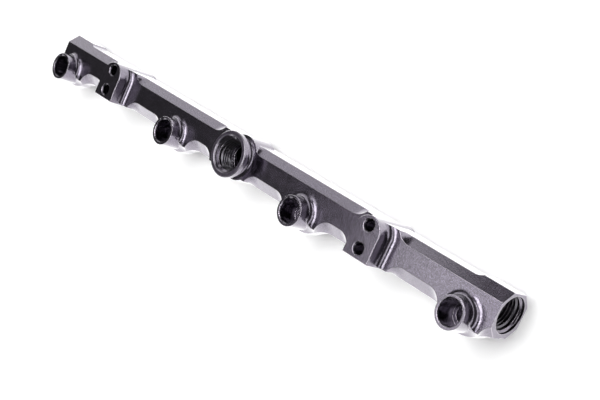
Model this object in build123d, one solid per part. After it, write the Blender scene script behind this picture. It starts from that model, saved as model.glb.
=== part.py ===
from build123d import *
import math
import os

os.makedirs("parts", exist_ok=True)

# Fuel rail for a row of injectors, milled from one aluminium bar and black anodised.
# Rail axes, used until the last step: X runs along the rail from its far end, Y goes back from the
# plane of the cup mouths, Z goes across the front face from the axis of the cups. Cup 1 is at X = 0.
# An outline's steps are ("line", point) and ("arc", middle, end), from where the last step ended.

# injector cups
cup_count = 4
cup_pitch = 94.0
cup_od = 13.7
cup_bore_d = 10.8
cup_bore_depth = 10.4
cup_stand = 7.3
feed_d = 7.4
mouth_edge = 0.2
mouth_entry = 0.55

# bar: an octagon in section, relieved on top between its ends
end_far = 11.0
end_near = 14.5
bar_depth = 17.6
flat_low = 3.2
flat_top = 12.2
bar_chamfer = 4.75
relief_depth = 1.15
relief_far = 3.4
relief_near = 15.4
relief_end_r = 5.7

# gallery and the threaded ports
gallery_d = 11.6
gallery_z = 8.0
thread_d = 14.3
end_thread_depth = 13.0
end_seat_d = 15.9
end_seat_depth = 1.25
end_cone_depth = 1.85
side_thread_depth = 10.4
side_seat_d = 16.5
side_seat_depth = 1.25
side_cone_depth = 2.1
side_entry = 0.6

# centre port: flange, neck, and the boss that runs back through the bar
port_off_middle = 0.2
port_z = 7.06
port_stand = 7.9
port_flange_d = 21.6
port_flange_t = 2.3
port_neck_wall = 0.85
port_edge = 0.35
port_boss_d = 21.2
port_boss_back = 4.7

# mounting lugs with blind tapped holes
lug_x = 42.4
lug_pitch = 188.0
lug_w = 14.3
lug_arc_z = 9.4
lug_low = -2.1
lug_hole_z = 7.35
lug_hole_spacing = 10.4
lug_hole_d = 5.0
lug_hole_depth = 8.4
lug_hole_entry = 0.5
lug_edge = 0.2

# root fillets on the front face
root_r = 3.1
port_root_r = 2.4

# pads under the cups, and the corners of the bar left full at the pads, the lugs and the port
pad_low = -7.55
pad_back = 9.2
pad_edge = 0.4
pad_arc_r = 13.2
pad_front_low = -2.9
pad_front_half = 10.8
run_out_r = 7.5
lug_block_half = 11.3
port_block_off = -4.6
port_block_half = 12.4
top_run_out_r = 8.2
lug_top_half = 9.5
port_top_left = 15.9
port_top_right = 5.6

# overlap that makes two solids join, and the length by which a cutter runs past a face
bite = 0.4
past = 1.0

# places worked out from the sizes above
face_y = cup_stand
back_y = face_y + bar_depth
chamfer_y = face_y + bar_chamfer
low_z = flat_low - bar_chamfer
top_z = flat_top + bar_chamfer
relief_z = top_z - relief_depth
far_x = -end_far
last_cup_x = (cup_count - 1) * cup_pitch
near_x = last_cup_x + end_near
port_x = last_cup_x / 2 + port_off_middle
port_y = face_y - port_stand
gallery_y = face_y + bar_depth / 2
pad_end_y = face_y + pad_back
cups_x = [i * cup_pitch for i in range(cup_count)]
lugs_x = [lug_x, lug_x + lug_pitch]


def cylinder_y(x, z, r, y0, y1):
    return Solid.make_cylinder(r, y1 - y0, Plane(origin=(x, y0, z), x_dir=(1, 0, 0), z_dir=(0, 1, 0)))


def cone_y(x, z, r0, r1, y0, y1):
    return Solid.make_cone(r0, r1, y1 - y0, Plane(origin=(x, y0, z), x_dir=(1, 0, 0), z_dir=(0, 1, 0)))


def cylinder_x(x, r, length, way):
    """Cylinder on the gallery's axis, from x for the length given, towards way = 1 or -1."""
    place = Plane(origin=(x, gallery_y, gallery_z), x_dir=(0, 1, 0), z_dir=(way, 0, 0))
    return Solid.make_cylinder(r, length, place)


def cone_x(x, r0, r1, length, way):
    place = Plane(origin=(x, gallery_y, gallery_z), x_dir=(0, 1, 0), z_dir=(way, 0, 0))
    return Solid.make_cone(r0, r1, length, place)


def box(x0, x1, y0, y1, z0, z1):
    return Solid.make_box(x1 - x0, y1 - y0, z1 - z0, Plane(origin=(x0, y0, z0)))


def prism_x(points, x0, x1):
    """Solid along X whose section is the polygon of (Y, Z) points."""
    wire = Wire.make_polygon([Vector(x0, y, z) for y, z in points], close=True)
    return Solid.extrude(Face(wire), Vector(x1 - x0, 0, 0))


def outline(start, steps, put):
    """Closed wire through the steps, with put(a, b) giving the place of a point (a, b)."""
    here = start
    edges = []
    for kind, *points in steps:
        if kind == "line":
            edges.append(Edge.make_line(put(*here), put(*points[0])))
        else:
            edges.append(Edge.make_three_point_arc(put(*here), put(*points[0]), put(*points[1])))
        here = points[-1]
    edges.append(Edge.make_line(put(*here), put(*start)))
    return Wire(edges)


def front_wire(y, start, steps):
    """Outline of (X, Z) points in the plane Y = y."""
    return outline(start, steps, lambda x, z: Vector(x, y, z))


def turned(x, z, start, steps):
    """Solid turned about the axis through (x, z) along Y; the outline's points are (radius, Y)."""
    wire = outline(start, steps, lambda r, y: Vector(x + r, y, z))
    return Solid.revolve(Face(wire), 360, Axis((x, 0, z), (0, 1, 0)))


def arc(a, b, r, from_angle, to_angle):
    """Start, middle and end of an arc about (a, b)."""
    angles = [math.radians(t) for t in (from_angle, (from_angle + to_angle) / 2, to_angle)]
    return [(a + r * math.cos(t), b + r * math.sin(t)) for t in angles]


def moved(points, x, side):
    """The points mirrored to side = 1 or -1 of the plane X = x."""
    return [(x + side * a, b) for a, b in points]


def root_arc(r, radius):
    """Fillet of the given radius between a wall of radius r and the front face, in (radius, Y)."""
    return arc(r + radius, face_y - radius, radius, 180, 90)


def lower_run_out(half, floor_z):
    """Curve in (X, Z) from a full corner's end at floor_z up to the edge of the lower chamfer."""
    centre_z = flat_low - run_out_r
    foot = math.degrees(math.asin((floor_z - centre_z) / run_out_r))
    return arc(half + run_out_r, centre_z, run_out_r, 180 - foot, 90)


def bar():
    """Octagonal bar with the relief on top, which ends in a curve at each side."""
    section = [(face_y, flat_low), (face_y, flat_top), (chamfer_y, top_z), (back_y - bar_chamfer, top_z),
               (back_y, flat_top), (back_y, flat_low), (back_y - bar_chamfer, low_z), (chamfer_y, low_z)]
    body = prism_x(section, far_x, near_x)
    run = math.sqrt(relief_end_r ** 2 - (relief_end_r - relief_depth) ** 2)
    first, last = relief_far + run, near_x - relief_near - run
    body = body - box(first, last, face_y - past, back_y + past, relief_z, top_z + past)
    for x in (first, last):
        body = body - cylinder_y(x, relief_z + relief_end_r, relief_end_r, face_y - past, back_y + past)
    return body


def pad(x):
    """Pad under a cup: its front slopes back as the lower chamfer does, its edge is a wave of arcs."""
    half = pad_front_half + run_out_r
    turn = 2 * math.atan((low_z - pad_low) / half)
    wave_r = half / math.sin(turn) - pad_arc_r
    up = flat_low + past
    face = lower_run_out(pad_front_half, pad_front_low)
    wave = arc(half, low_z - wave_r, wave_r, 90 + math.degrees(turn), 90)
    fl, fr = moved(face, x, -1), moved(face, x, 1)
    wl, wr = moved(wave, x, -1), moved(wave, x, 1)
    lid = [("line", (x + half, up)), ("line", (x - half, up))]
    front = front_wire(face_y, fl[2], [("arc", fl[1], fl[0]), ("line", fr[0]), ("arc", fr[1], fr[2])] + lid)
    edge = front_wire(chamfer_y, wl[2], [("arc", wl[1], wl[0]), ("arc", (x, pad_low), wr[0]),
                                         ("arc", wr[1], wr[2])] + lid)
    slope = Solid.make_loft([front, edge], ruled=True)
    deep = Solid.extrude(Face(edge), Vector(0, pad_end_y - chamfer_y, 0))
    off = prism_x([(pad_end_y - pad_edge, pad_low), (pad_end_y + past, pad_low + pad_edge + past),
                   (pad_end_y + past, pad_low - past), (pad_end_y - pad_edge, pad_low - past)],
                  x - half, x + half)
    return [slope, deep - off]


def lower_corner(x, half):
    """Lower front corner left full around x, with curved run-outs into the chamfer."""
    width = half + run_out_r
    up = flat_low + past
    face = lower_run_out(half, low_z)
    fl, fr = moved(face, x, -1), moved(face, x, 1)
    foot = half + bite
    lid = [("line", (x + width, up)), ("line", (x - width, up))]
    front = front_wire(face_y, fl[2], [("arc", fl[1], fl[0]), ("line", fr[0]), ("arc", fr[1], fr[2])] + lid)
    floor = [("line", (x + shift, low_z)) for shift in (-foot, foot, width)]
    back = front_wire(chamfer_y, (x - width, low_z), floor + lid)
    return Solid.make_loft([front, back], ruled=True)


def upper_corner(left, right):
    """Upper front corner left full from left to right, up to the relief, with curved run-outs."""
    centre_z = flat_top + top_run_out_r
    rise = math.degrees(math.asin((centre_z - relief_z) / top_run_out_r))
    curve = arc(0, centre_z, top_run_out_r, 270, 360 - rise)
    reach = curve[2][0]
    start, end = left - reach, right + reach
    ls, rs = moved(curve, start, 1), moved(curve, end, -1)
    down = flat_top - past
    lid = [("line", (end, down)), ("line", (start, down))]
    front = front_wire(face_y, ls[0], [("arc", ls[1], ls[2]), ("line", rs[2]), ("arc", rs[1], rs[0])] + lid)
    back = front_wire(face_y + relief_z - flat_top, (start, relief_z),
                      [("line", (left - bite, relief_z)), ("line", (right + bite, relief_z)),
                       ("line", (end, relief_z))] + lid)
    return Solid.make_loft([front, back], ruled=True)


def cup(x):
    """Cup with its root fillet, which stops where the pad's front starts to slope."""
    r = cup_od / 2
    root = root_arc(r, root_r)
    low = face_y + bite
    end = pad_end_y - pad_edge
    body = turned(x, 0, (0, 0), [("line", (r - mouth_edge, 0)), ("line", (r, mouth_edge)), ("line", root[0]),
                                 ("arc", root[1], root[2]), ("line", (root[2][0], low)), ("line", (r, low)),
                                 ("line", (r, end)), ("line", (0, end))])
    span = 2 * (r + root_r)
    slope = prism_x([(face_y - span, pad_front_low + span), (face_y + span, pad_front_low - span),
                     (face_y - span, pad_front_low - span)], x - span, x + span)
    neck = cylinder_y(x, 0, r, mouth_edge, end)
    return (body - slope).fuse(body & neck)


def port():
    """Centre port in front of the bar, and its boss through the bar."""
    flange, neck = port_flange_d / 2, thread_d / 2 + port_neck_wall
    root = root_arc(neck, port_root_r)
    rim_y = port_y + port_flange_t
    low = face_y + bite
    front = turned(port_x, port_z, (0, port_y),
                   [("line", (flange - port_edge, port_y)), ("line", (flange, port_y + port_edge)),
                    ("line", (flange, rim_y)), ("line", (neck, rim_y + (flange - neck) / 2)),
                    ("line", root[0]), ("arc", root[1], root[2]), ("line", (root[2][0], low)),
                    ("line", (0, low))])
    boss = cylinder_y(port_x, port_z, port_boss_d / 2, face_y, back_y - port_boss_back)
    return [front, boss]


def lug(x):
    """Round-topped lug through the whole bar, and its root fillet on the front face."""
    h = lug_w / 2
    wire = front_wire(0, (x - h, lug_low), [("line", (x + h, lug_low)), ("line", (x + h, lug_arc_z)),
                                            ("arc", (x, lug_arc_z + h), (x - h, lug_arc_z))])
    body = Solid.extrude(Face(wire), Vector(0, back_y, 0))
    body = body.chamfer(lug_edge, None, body.faces().sort_by(Axis.Y)[0].edges())
    root = root_arc(h, root_r)
    low = face_y + bite
    inside = h - past
    steps = [("arc", root[1], root[2]), ("line", (root[2][0], low)), ("line", (inside, low)),
             ("line", (inside, root[0][1]))]
    roots = [turned(x, lug_arc_z, root[0], steps)]
    for side in (-1, 1):
        wire = outline(root[0], steps, lambda r, y: Vector(x + side * r, y, low_z))
        roots.append(Solid.extrude(Face(wire), Vector(0, 0, lug_arc_z - low_z)))
    width = h + root_r + past
    keep = box(x - width, x + width, 0, low, low_z, relief_z)
    return [body, roots[0].fuse(*roots[1:]) & keep]


def end_port(x, way):
    """Cutter for the threaded port at one end; way points into the bar."""
    seat, wall = end_seat_d / 2, thread_d / 2
    return [cylinder_x(x - way * past, seat, past + end_seat_depth, way),
            cone_x(x + way * end_seat_depth, seat, wall, end_cone_depth - end_seat_depth, way),
            cylinder_x(x, wall, end_thread_depth, way)]


def side_port():
    """Cutter for the threaded port in the middle, down to the gallery's axis."""
    seat, wall = side_seat_d / 2, thread_d / 2
    seat_y, cone_end = port_y + side_seat_depth, port_y + side_cone_depth
    return [cone_y(port_x, port_z, seat + side_entry, seat, port_y, port_y + side_entry),
            cylinder_y(port_x, port_z, seat, port_y - past, seat_y),
            cone_y(port_x, port_z, seat, wall, seat_y, cone_end),
            cylinder_y(port_x, port_z, wall, port_y, port_y + side_thread_depth),
            cylinder_y(port_x, port_z, gallery_d / 2, port_y, gallery_y)]


def cup_bore(x):
    """Cutter for a cup's bore, its entry chamfer and its feed from the gallery."""
    r = cup_bore_d / 2
    return [cylinder_y(x, 0, r, -past, cup_bore_depth),
            cone_y(x, 0, r + mouth_entry, r, 0, mouth_entry),
            cylinder_y(x, 0, feed_d / 2, cup_bore_depth - bite, gallery_y - feed_d / 4)]


def lug_holes(x):
    """Cutters for the two blind holes of a lug."""
    r = lug_hole_d / 2
    cutters = []
    for side in (-1, 1):
        z = lug_hole_z + side * lug_hole_spacing / 2
        cutters += [cylinder_y(x, z, r, -past, lug_hole_depth),
                    cone_y(x, z, r + lug_hole_entry, r, 0, lug_hole_entry)]
    return cutters


corners = []
for x in cups_x:
    corners += pad(x)
for x in lugs_x:
    corners += [lower_corner(x, lug_block_half), upper_corner(x - lug_top_half, x + lug_top_half)]
corners += [lower_corner(port_x + port_block_off, port_block_half),
            upper_corner(port_x - port_top_left, port_x + port_top_right)]
rail = bar().fuse(*corners) & box(far_x, near_x, 0, back_y, pad_low, top_z)
rail = rail.fuse(*[cup(x) for x in cups_x])
rail = rail.fuse(*port())
for x in lugs_x:
    rail = rail.fuse(*lug(x))

cutters = [cylinder_x(far_x - past, gallery_d / 2, near_x - far_x + 2 * past, 1)]
cutters += end_port(far_x, 1) + end_port(near_x, -1) + side_port()
for x in cups_x:
    cutters += cup_bore(x)
for x in lugs_x:
    cutters += lug_holes(x)
rail = rail.cut(*cutters)

# row frame: lying on its flat back with the cups opening along +Z, centred over its footprint
port_top = port_z + port_flange_d / 2
middle_x, middle_z = (far_x + near_x) / 2, (port_top + pad_low) / 2
to_row = Location((-middle_x, -middle_z, back_y)) * Location((0, 0, 0), (-90, 0, 0))
rail = rail.moved(to_row)
if len(rail.solids()) == 1:
    rail = rail.solids()[0]
rail.label = "rail_body"
export_step(rail, "parts/rail_body.step")
print("rail_body", rail.is_valid, round(rail.volume), len(rail.solids()), rail.bounding_box())
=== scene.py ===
# %% [markdown]
# Start from the measured part
# The rail itself comes from the CAD as one solid mesh in metres. It lies on its flat back on the
# floor, with the injector cups pointing up, and its long side along X. Nothing here moves or
# reshapes that mesh: this script only gives it a finish, adds the threads, and lights it. The box
# around the CAD is kept now, and the threads take the rail's two ends from it.

# %% Load the frame
import bpy
import bmesh
import math
from mathutils import Matrix, Vector


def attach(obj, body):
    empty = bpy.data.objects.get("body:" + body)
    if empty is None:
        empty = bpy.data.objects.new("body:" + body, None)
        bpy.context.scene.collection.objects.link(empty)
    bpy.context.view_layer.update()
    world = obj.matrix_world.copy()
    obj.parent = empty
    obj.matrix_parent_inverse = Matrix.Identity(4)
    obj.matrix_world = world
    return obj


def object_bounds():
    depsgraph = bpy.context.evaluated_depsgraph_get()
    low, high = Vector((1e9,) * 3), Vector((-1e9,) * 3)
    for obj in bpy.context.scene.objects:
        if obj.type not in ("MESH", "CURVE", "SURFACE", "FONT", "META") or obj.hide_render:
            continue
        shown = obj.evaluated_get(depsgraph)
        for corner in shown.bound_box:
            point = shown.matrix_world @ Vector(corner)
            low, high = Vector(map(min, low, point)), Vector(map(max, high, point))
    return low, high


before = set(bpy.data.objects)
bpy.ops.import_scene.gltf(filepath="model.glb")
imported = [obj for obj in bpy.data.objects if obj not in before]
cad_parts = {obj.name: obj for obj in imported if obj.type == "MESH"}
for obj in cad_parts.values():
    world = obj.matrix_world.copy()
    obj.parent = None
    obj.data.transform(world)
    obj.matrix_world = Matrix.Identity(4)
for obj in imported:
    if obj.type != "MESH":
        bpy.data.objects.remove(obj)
cad_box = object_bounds()
mm = 0.001
print("CAD box in metres:", cad_box)

# %% [markdown]
# Stand where the photographer stood
# A product photo of a long part is taken with a long lens, or the near end would look much bigger
# than the far one. Instead of guessing a lens and nudging the camera by eye, the place, the view
# direction and the focal length were worked out once from points that show in the photo, such as
# the mouths of the cups. The optical axis is a little off the picture's middle, which is what the
# camera's shift is for. Pixels are measured from the photo's upper left corner.

# %% Camera at the photo's viewing angle
CAMERA_AT = Vector((0.378386, 0.074369, 0.398456))
VIEW_ALONG = Vector((-0.6438, -0.1898, -0.7413))
VIEW_UP = Vector((-0.4268, 0.8931, 0.1421))
PHOTO_WIDTH, PHOTO_HEIGHT = 600, 400
FOCAL_PIXELS = 1197.18
AXIS_PIXEL = (286.13, 253.24)
SENSOR_WIDTH = 36.0
NEAREST_SEEN = 10 * mm

lens = bpy.data.cameras.new("camera")
lens.sensor_width = SENSOR_WIDTH
lens.lens = FOCAL_PIXELS * SENSOR_WIDTH / PHOTO_WIDTH
lens.shift_x = (PHOTO_WIDTH / 2 - AXIS_PIXEL[0]) / PHOTO_WIDTH
lens.shift_y = (AXIS_PIXEL[1] - PHOTO_HEIGHT / 2) / PHOTO_WIDTH
lens.clip_start = NEAREST_SEEN
camera = bpy.data.objects.new("camera", lens)
backwards = -VIEW_ALONG.normalized()
rightwards = VIEW_UP.cross(backwards).normalized()
upwards = backwards.cross(rightwards)
turn = Matrix((rightwards, upwards, backwards)).transposed()
camera.matrix_world = Matrix.Translation(CAMERA_AT) @ turn.to_4x4()
bpy.context.scene.collection.objects.link(camera)
bpy.context.scene.camera = camera
print("lens", round(lens.lens, 2), "mm, shift", round(lens.shift_x, 4), round(lens.shift_y, 4))

# %% [markdown]
# Grain that several finishes share
# The photo shows a fine, even grain, as a milled bar has when it is blasted with glass beads before
# it is anodised. The beads leave pits of under a millimetre, and slow patches where the blast was a
# little stronger. An image texture could show this, but noise worked out in the object's own
# coordinates has no seams on a milled shape and keeps its real size. Noise seldom comes near 0 or
# 1, so the middle of its range is stretched over the whole. It is all built once, as a node group,
# and each finish sets its own sizes of pits and patches.

# %% Helper that makes a shader node group
def node_group(name, inputs, outputs):
    """Shader node group, still empty, with inputs {label: number} and outputs {label: type}."""
    group = bpy.data.node_groups.new(name, "ShaderNodeTree")
    for label, value in inputs.items():
        socket = group.interface.new_socket(label, in_out="INPUT", socket_type="NodeSocketFloat")
        socket.default_value = value
    for label, kind in outputs.items():
        group.interface.new_socket(label, in_out="OUTPUT", socket_type=kind)
    return group, group.nodes.new("NodeGroupInput"), group.nodes.new("NodeGroupOutput")


def math_node(nodes, operation, first=None, second=None):
    """Math node with its two numbers set where they are given."""
    node = nodes.new("ShaderNodeMath")
    node.operation = operation
    for socket, value in zip(node.inputs, (first, second)):
        if value is not None:
            socket.default_value = value
    return node


# %% Bead-blasted grain
# Each output, with the input that sets its size and the detail of its noise.
GRAIN_LAYERS = {"Pits": ("Pit Size mm", 3.0), "Patches": ("Patch Size mm", 2.0)}
NOISE_LOW, NOISE_HIGH = 0.3, 0.7
grain_group, grain_in, grain_out = node_group(
    "bead_blasted_grain", {"Pit Size mm": 0.5, "Patch Size mm": 6.0},
    {"Pits": "NodeSocketFloat", "Patches": "NodeSocketFloat"})
nodes, links = grain_group.nodes, grain_group.links
own_place = nodes.new("ShaderNodeTexCoord")
for layer, (size_label, detail) in GRAIN_LAYERS.items():
    cells_per_metre = math_node(nodes, "DIVIDE", 1 / mm)
    noise = nodes.new("ShaderNodeTexNoise")
    noise.inputs["Detail"].default_value = detail
    links.new(grain_in.outputs[size_label], cells_per_metre.inputs[1])
    links.new(cells_per_metre.outputs[0], noise.inputs["Scale"])
    links.new(own_place.outputs["Object"], noise.inputs["Vector"])
    stretch = nodes.new("ShaderNodeMapRange")
    stretch.inputs["From Min"].default_value = NOISE_LOW
    stretch.inputs["From Max"].default_value = NOISE_HIGH
    links.new(noise.outputs["Fac"], stretch.inputs["Value"])
    links.new(stretch.outputs["Result"], grain_out.inputs[layer])
print("grain group puts out", list(GRAIN_LAYERS))

# %% [markdown]
# Edges that catch the light
# No milled edge is perfectly sharp. Blasting rounds it by a few tenths of a millimetre, and wear
# rubs it paler; a thin bright line runs along the bar where the front face meets the long chamfer.
# Rounding every edge of the mesh would cost thousands of faces. The Bevel node bends only the
# shading normal near an edge. How far the bent normal leans from the face's own, measured by the
# cosine between them, is also a mask of where the edges are. The paler grey it puts on the edges
# is partly wear and partly a painted highlight, for that bright line.

# %% Rounded edges as a normal and a mask
BEVEL_SAMPLES = 6
EDGE_BEGINS, EDGE_FULL = 0.997, 0.94
edge_group, edge_in, edge_out = node_group(
    "rounded_edges", {"Radius mm": 0.2},
    {"Normal": "NodeSocketVector", "Edge": "NodeSocketFloat"})
nodes, links = edge_group.nodes, edge_group.links
radius = math_node(nodes, "MULTIPLY", None, mm)
links.new(edge_in.outputs["Radius mm"], radius.inputs[0])
rounded = nodes.new("ShaderNodeBevel")
rounded.samples = BEVEL_SAMPLES
links.new(radius.outputs[0], rounded.inputs["Radius"])
true_face = nodes.new("ShaderNodeNewGeometry")
alike = nodes.new("ShaderNodeVectorMath")
alike.operation = "DOT_PRODUCT"
links.new(rounded.outputs["Normal"], alike.inputs[0])
links.new(true_face.outputs["Normal"], alike.inputs[1])
edge_mask = nodes.new("ShaderNodeMapRange")
edge_mask.inputs["From Min"].default_value = EDGE_BEGINS
edge_mask.inputs["From Max"].default_value = EDGE_FULL
links.new(alike.outputs["Value"], edge_mask.inputs["Value"])
links.new(rounded.outputs["Normal"], edge_out.inputs["Normal"])
links.new(edge_mask.outputs["Result"], edge_out.inputs["Edge"])
print("edge group puts out a normal and a mask")

# %% [markdown]
# Black anodised aluminium
# Anodising grows a clear, hard oxide on the metal and fills it with black dye. Seen from the front
# it is nearly black, yet at a slant it mirrors the studio strongly. Two layers give that: a dark
# metal for the satin glow of the dyed aluminium, and a clear coat for the smooth oxide skin on top.
# The pits move the colour from dark to pale and dent the surface, the patches move the roughness
# from the lower to the higher of its two values, and the edges turn a paler grey, partly wear and
# partly a painted highlight. The colours lean slightly to violet, because the black in the photo
# does.

# %% The finish as a function
OXIDE_IOR = 1.6
# Paler grey for the edges: partly real wear, partly a painted highlight along them.
EDGE_WEAR_AND_HIGHLIGHT_COLOUR = (0.50, 0.47, 0.52)
EDGE_WEAR_AND_HIGHLIGHT = 0.7


def anodised(name, dark, pale, roughness, coat_roughness, pit_mm, patch_mm, pit_depth_mm, edge_mm):
    """Anodised metal: colours and roughness from grain and edges, with its own values."""
    material = bpy.data.materials.new(name)
    material.use_nodes = True
    nodes, links = material.node_tree.nodes, material.node_tree.links
    shader = nodes["Principled BSDF"]
    shader.inputs["Metallic"].default_value = 1.0
    shader.inputs["Coat Weight"].default_value = 1.0
    shader.inputs["Coat Roughness"].default_value = coat_roughness
    shader.inputs["Coat IOR"].default_value = OXIDE_IOR

    grain = nodes.new("ShaderNodeGroup")
    grain.node_tree = grain_group
    grain.inputs["Pit Size mm"].default_value = pit_mm
    grain.inputs["Patch Size mm"].default_value = patch_mm
    edges = nodes.new("ShaderNodeGroup")
    edges.node_tree = edge_group
    edges.inputs["Radius mm"].default_value = edge_mm

    gloss = nodes.new("ShaderNodeMapRange")
    gloss.inputs["To Min"].default_value, gloss.inputs["To Max"].default_value = roughness
    links.new(grain.outputs["Patches"], gloss.inputs["Value"])
    links.new(gloss.outputs["Result"], shader.inputs["Roughness"])

    speckle = nodes.new("ShaderNodeMix")
    speckle.data_type = "RGBA"
    speckle.inputs["A"].default_value = (*dark, 1)
    speckle.inputs["B"].default_value = (*pale, 1)
    # The edges turn a paler grey: partly wear, partly a painted highlight.
    worn_and_highlit = nodes.new("ShaderNodeMix")
    worn_and_highlit.data_type = "RGBA"
    worn_and_highlit.inputs["B"].default_value = (*EDGE_WEAR_AND_HIGHLIGHT_COLOUR, 1)
    wear_and_highlight = math_node(nodes, "MULTIPLY", None, EDGE_WEAR_AND_HIGHLIGHT)
    links.new(grain.outputs["Pits"], speckle.inputs["Factor"])
    links.new(speckle.outputs["Result"], worn_and_highlit.inputs["A"])
    links.new(edges.outputs["Edge"], wear_and_highlight.inputs[0])
    links.new(wear_and_highlight.outputs[0], worn_and_highlit.inputs["Factor"])
    links.new(worn_and_highlit.outputs["Result"], shader.inputs["Base Color"])

    dents = nodes.new("ShaderNodeBump")
    dents.inputs["Distance"].default_value = pit_depth_mm * mm
    links.new(grain.outputs["Pits"], dents.inputs["Height"])
    links.new(edges.outputs["Normal"], dents.inputs["Normal"])
    links.new(dents.outputs["Normal"], shader.inputs["Normal"])
    return material


# %% Put the finish on the rail
rail_finish = anodised("black_anodised", dark=(0.083, 0.071, 0.097), pale=(0.170, 0.147, 0.196),
                       roughness=(0.17, 0.25), coat_roughness=0.15, pit_mm=0.6, patch_mm=6.0,
                       pit_depth_mm=0.02, edge_mm=0.45)
for name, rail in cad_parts.items():
    rail.data.materials.clear()
    rail.data.materials.append(rail_finish)
    print(name, "has", len(rail.data.polygons), "faces and the finish", rail_finish.name)

# %% [markdown]
# Turning marks on the centre port
# A fitting seals against the flat face of the centre port, so this face is cut in a pass of its
# own, by a cutter that goes round. That leaves fine rings, which spread the light and make the face
# greyer than the bar behind it. It needs neither a mesh nor a material of its own: nothing else on
# the rail stands as high, so the height alone picks the face out of the rail's finish. There the
# roughness goes up, and a sine of the distance from the port's centre dents the surface in rings.

# %% Pick out the highest face
TURNED_ABOVE = 25.2 * mm
TURNED_ROUGHNESS = 0.33
nodes, links = rail_finish.node_tree.nodes, rail_finish.node_tree.links
shader = nodes["Principled BSDF"]
own_place = nodes.new("ShaderNodeTexCoord")
coordinates = nodes.new("ShaderNodeSeparateXYZ")
turned = math_node(nodes, "GREATER_THAN", None, TURNED_ABOVE)
links.new(own_place.outputs["Object"], coordinates.inputs["Vector"])
links.new(coordinates.outputs["Z"], turned.inputs[0])
sheen = nodes.new("ShaderNodeMix")
sheen.inputs["B"].default_value = TURNED_ROUGHNESS
links.new(turned.outputs[0], sheen.inputs["Factor"])
links.new(shader.inputs["Roughness"].links[0].from_socket, sheen.inputs["A"])
links.new(sheen.outputs["Result"], shader.inputs["Roughness"])
print("roughness is", TURNED_ROUGHNESS, "above a height of", TURNED_ABOVE / mm, "mm")

# %% Rings around the port's centre
RING_SPACING = 0.35 * mm
RING_DEPTH = 0.004 * mm
SIDE_PORT_AT = Vector((-1.55, 1.905, 25.5)) * mm
from_centre = nodes.new("ShaderNodeVectorMath")
from_centre.operation = "SUBTRACT"
from_centre.inputs[1].default_value = SIDE_PORT_AT
distance = nodes.new("ShaderNodeVectorMath")
distance.operation = "LENGTH"
ring_angle = math_node(nodes, "MULTIPLY", None, 2 * math.pi / RING_SPACING)
rings = math_node(nodes, "SINE")
rings_on_face = math_node(nodes, "MULTIPLY")
grooves = nodes.new("ShaderNodeBump")
grooves.inputs["Distance"].default_value = RING_DEPTH
links.new(own_place.outputs["Object"], from_centre.inputs[0])
links.new(from_centre.outputs["Vector"], distance.inputs[0])
links.new(distance.outputs["Value"], ring_angle.inputs[0])
links.new(ring_angle.outputs[0], rings.inputs[0])
links.new(rings.outputs[0], rings_on_face.inputs[0])
links.new(turned.outputs[0], rings_on_face.inputs[1])
links.new(rings_on_face.outputs[0], grooves.inputs["Height"])
links.new(shader.inputs["Normal"].links[0].from_socket, grooves.inputs["Normal"])
links.new(grooves.outputs["Normal"], shader.inputs["Normal"])
print("rings every", RING_SPACING / mm, "mm,", RING_DEPTH / mm, "mm deep")

# %% [markdown]
# Threads in the three ports
# The CAD bores each port to the thread's full outer diameter, and leaves the thread to this step. A
# cut thread is a ridge with a narrow crest and flanks about 60 degrees apart, which winds along the
# wall. It could be faked with a striped bump, but the ridges stand almost three quarters of a
# millimetre high and show their outline in the open port. So each one is a real mesh: one
# four-cornered section is carried along a helix, and at both ends it sinks into the wall, as a tap
# leaves it. Its foot lies a little inside the wall, so that no gap shows between the two.

# %% Sizes of the thread
INCH = 25.4 * mm
THREADS_PER_INCH = 18
PITCH = INCH / THREADS_PER_INCH
WALL_R = 7.15 * mm
CREST_R = 6.42 * mm
SINK = 0.06 * mm
FOOT_R = WALL_R + SINK
CREST_HALF, FOOT_HALF = 0.09 * PITCH, 0.4375 * PITCH
# Corners of the section: place along the port's axis, and rise from the foot to the crest.
SECTION = ((-FOOT_HALF, 0), (-CREST_HALF, 1), (CREST_HALF, 1), (FOOT_HALF, 0))
STEPS_PER_TURN = 72
FADE_TURNS = 0.3
print("pitch", round(PITCH / mm, 3), "mm, crest diameter", round(2 * CREST_R / mm, 2), "mm")

# %% Carry the section along a helix
def thread_ridge(name, mouth, inward, start, end):
    """Ridge on the wall of a port, between two depths below the centre of its mouth."""
    along = Vector(inward)
    side = along.orthogonal().normalized()
    other = along.cross(side)
    steps = int((end - start) / PITCH * STEPS_PER_TURN)
    fade = FADE_TURNS * STEPS_PER_TURN
    mesh_maker = bmesh.new()
    sections = []
    for step in range(steps + 1):
        angle = 2 * math.pi * step / STEPS_PER_TURN
        outward = side * math.cos(angle) + other * math.sin(angle)
        depth = start + PITCH * step / STEPS_PER_TURN
        height = (FOOT_R - CREST_R) * min(1.0, step / fade, (steps - step) / fade)
        corners = [mouth + along * (depth + offset) + outward * (FOOT_R - height * rise)
                   for offset, rise in SECTION]
        sections.append([mesh_maker.verts.new(corner) for corner in corners])
    for section, following in zip(sections, sections[1:]):
        for j, k in ((0, 1), (1, 2), (2, 3), (3, 0)):
            mesh_maker.faces.new((section[j], section[k], following[k], following[j]))
    mesh_maker.faces.new(sections[0][::-1])
    mesh_maker.faces.new(sections[-1])
    bmesh.ops.recalc_face_normals(mesh_maker, faces=mesh_maker.faces)
    mesh = bpy.data.meshes.new(name)
    mesh_maker.to_mesh(mesh)
    mesh_maker.free()
    ridge = bpy.data.objects.new(name, mesh)
    bpy.context.scene.collection.objects.link(ridge)
    return ridge


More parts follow.
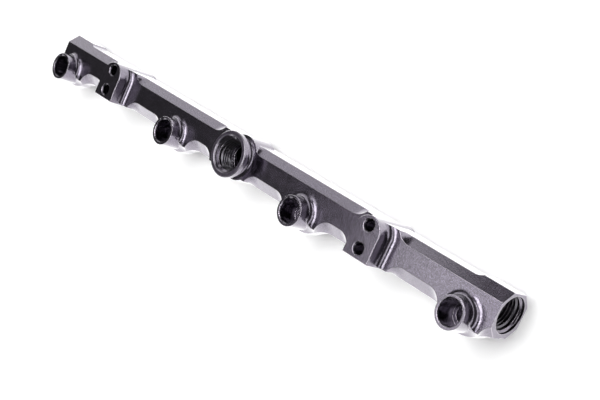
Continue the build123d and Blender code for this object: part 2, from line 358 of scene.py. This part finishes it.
# %% Finish and place the three threads
THREAD_START, END_THREAD_END, SIDE_THREAD_END = 2.35 * mm, 12.3 * mm, 9.7 * mm
PORT_ACROSS, PORT_HIGH = 2.845 * mm, 8.8 * mm
(far_end, _, _), (near_end, _, _) = cad_box
near_mouth = Vector((near_end, PORT_ACROSS, PORT_HIGH))
far_mouth = Vector((far_end, PORT_ACROSS, PORT_HIGH))
# The thread's colours are darker than the rail's: painted shade for the hollow of the bores.
shaded_thread_finish = anodised("anodised_thread_painted_shade", dark=(0.034, 0.030, 0.040), pale=(0.060, 0.053, 0.070),
                         roughness=(0.26, 0.32), coat_roughness=0.24, pit_mm=0.8, patch_mm=4.0,
                         pit_depth_mm=0.008, edge_mm=0.10)
# Each port's thread: the centre of the mouth, the direction inwards, and the depth where it ends.
PORTS = {
    "thread_side_port": (SIDE_PORT_AT, (0, 0, -1), SIDE_THREAD_END),
    "thread_end_near": (near_mouth, (-1, 0, 0), END_THREAD_END),
    "thread_end_far": (far_mouth, (1, 0, 0), END_THREAD_END),
}
for name, (mouth, inward, end) in PORTS.items():
    ridge = thread_ridge(name, mouth, inward, THREAD_START, end)
    ridge.data.materials.append(shaded_thread_finish)
    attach(ridge, "root")
    print(name, "winds", round((end - THREAD_START) / PITCH, 1), "turns")

# %% [markdown]
# A pale floor
# The rail lies on seamless white paper. The paper is a plain pale colour, and the lamps alone would
# leave it a light grey with the rail's soft shadow. Turning the lamps up until it is white would
# burn out the rail. So the paper glows instead, but only for rays that come from the camera, from a
# mirroring surface or through glass, and it lights nothing. For the camera the glow is weak by the
# rail, where the lamps reach and the shadow has to show, and it rises with the distance, as the
# lamps fade. The metal mirrors paper that is white all over.

# %% Sheet of paper
FLOOR_SIDE = 8.0
PAPER_GREY = 0.88
PAPER_ROUGHNESS = 0.9
half = FLOOR_SIDE / 2
floor_mesh = bpy.data.meshes.new("floor")
floor_mesh.from_pydata([(-half, -half, 0), (half, -half, 0), (half, half, 0), (-half, half, 0)],
                       [], [(0, 1, 2, 3)])
floor = bpy.data.objects.new("floor", floor_mesh)
bpy.context.scene.collection.objects.link(floor)
paper = bpy.data.materials.new("pale_paper")
paper.use_nodes = True
nodes, links = paper.node_tree.nodes, paper.node_tree.links
sheet = nodes["Principled BSDF"]
sheet.inputs["Base Color"].default_value = (PAPER_GREY, PAPER_GREY, PAPER_GREY, 1)
sheet.inputs["Roughness"].default_value = PAPER_ROUGHNESS
sheet.inputs["Specular IOR Level"].default_value = 0.0
sheet.inputs["Emission Color"].default_value = (1, 1, 1, 1)
floor_mesh.materials.append(paper)
print("floor is", FLOOR_SIDE, "m square")

# %% Glow that only some rays see
NEAR_GLOW, FAR_GLOW = 0.27, 0.80
GLOW_RISES_FROM, GLOW_RISES_TO = 0.4, 2.0
MIRROR_GLOW = 1.0
place = nodes.new("ShaderNodeNewGeometry")
distance = nodes.new("ShaderNodeVectorMath")
distance.operation = "LENGTH"
glow = nodes.new("ShaderNodeMapRange")
glow.inputs["From Min"].default_value = GLOW_RISES_FROM
glow.inputs["From Max"].default_value = GLOW_RISES_TO
glow.inputs["To Min"].default_value = NEAR_GLOW
glow.inputs["To Max"].default_value = FAR_GLOW
links.new(place.outputs["Position"], distance.inputs[0])
links.new(distance.outputs["Value"], glow.inputs["Value"])
ray = nodes.new("ShaderNodeLightPath")
for_camera = math_node(nodes, "MULTIPLY")
for_mirrors = math_node(nodes, "MULTIPLY_ADD", None, MIRROR_GLOW)
for_glass = math_node(nodes, "MULTIPLY_ADD", None, MIRROR_GLOW)
links.new(ray.outputs["Is Camera Ray"], for_camera.inputs[0])
links.new(glow.outputs["Result"], for_camera.inputs[1])
links.new(ray.outputs["Is Glossy Ray"], for_mirrors.inputs[0])
links.new(for_camera.outputs[0], for_mirrors.inputs[2])
links.new(ray.outputs["Is Transmission Ray"], for_glass.inputs[0])
links.new(for_mirrors.outputs[0], for_glass.inputs[2])
links.new(for_glass.outputs[0], sheet.inputs["Emission Strength"])
print("glow for the camera is", NEAR_GLOW, "to", FAR_GLOW, "and for mirrors", MIRROR_GLOW)

# %% [markdown]
# Soft boxes that draw the shape
# A dark glossy part is seen by what it mirrors, so each box stands where something should mirror
# it. The face that the cups grow from mirrors the air above and beyond its far end. Only its near
# end mirrors the ceiling box, so that end is grey and the rest fades to black, as in the photo. The
# long chamfer mirrors a place low and beyond, where the box named behind stands. The overhead box
# draws bright lines in the fillets at the roots of the cups and lugs, and throws the shadow. The
# strip hangs above and beyond the near end, for the slanted rings of the ports, and the low_front
# box stands low on the side of the pads. A dim even sky keeps the sides that no box reaches from
# going black.

# %% Soft boxes
SOFTBOXES = {
    "overhead": dict(at=(-0.03, 0.13, 0.80), towards=(-0.03, 0.13, 0), size=(0.36, 0.62), glow=6.4),
    "ceiling": dict(at=(-0.39, 0.30, 0.80), towards=(-0.39, 0.30, 0), size=(0.19, 1.6), glow=2.2),
    "strip": dict(at=(0.58, 0.27, 0.82), towards=(0, 0, 0.02), size=(2.4, 0.26), glow=2.8),
    "behind": dict(at=(-0.85, 0.65, 0.22), towards=(0, 0, 0), size=(1.0, 0.4), glow=1.2),
    "low_front": dict(at=(-0.7, -0.8, 0.12), towards=(0, 0, 0.02), size=(1.2, 0.2), glow=2.0),
}


def softbox(name, at, towards, size, glow):
    """Area lamp at a place in metres, turned towards another, as bright over its face as glow."""
    lamp = bpy.data.lights.new(name, "AREA")
    lamp.shape = "RECTANGLE"
    lamp.size, lamp.size_y = size
    lamp.energy = glow * math.pi * size[0] * size[1]
    box = bpy.data.objects.new(name, lamp)
    box.location = at
    box.rotation_euler = (Vector(towards) - Vector(at)).to_track_quat("-Z", "Y").to_euler()
    bpy.context.scene.collection.objects.link(box)
    return box


for name, values in SOFTBOXES.items():
    box = softbox(name, **values)
    print(name, "gives", round(box.data.energy, 1), "watts")

# %% Dim sky and plain colours
SKY_LEVEL = 0.08
world = bpy.data.worlds.new("studio")
world.use_nodes = True
sky = world.node_tree.nodes["Background"]
sky.inputs["Color"].default_value = (1, 1, 1, 1)
sky.inputs["Strength"].default_value = SKY_LEVEL
bpy.context.scene.world = world
bpy.context.scene.view_settings.view_transform = "Standard"
print("sky level", SKY_LEVEL)
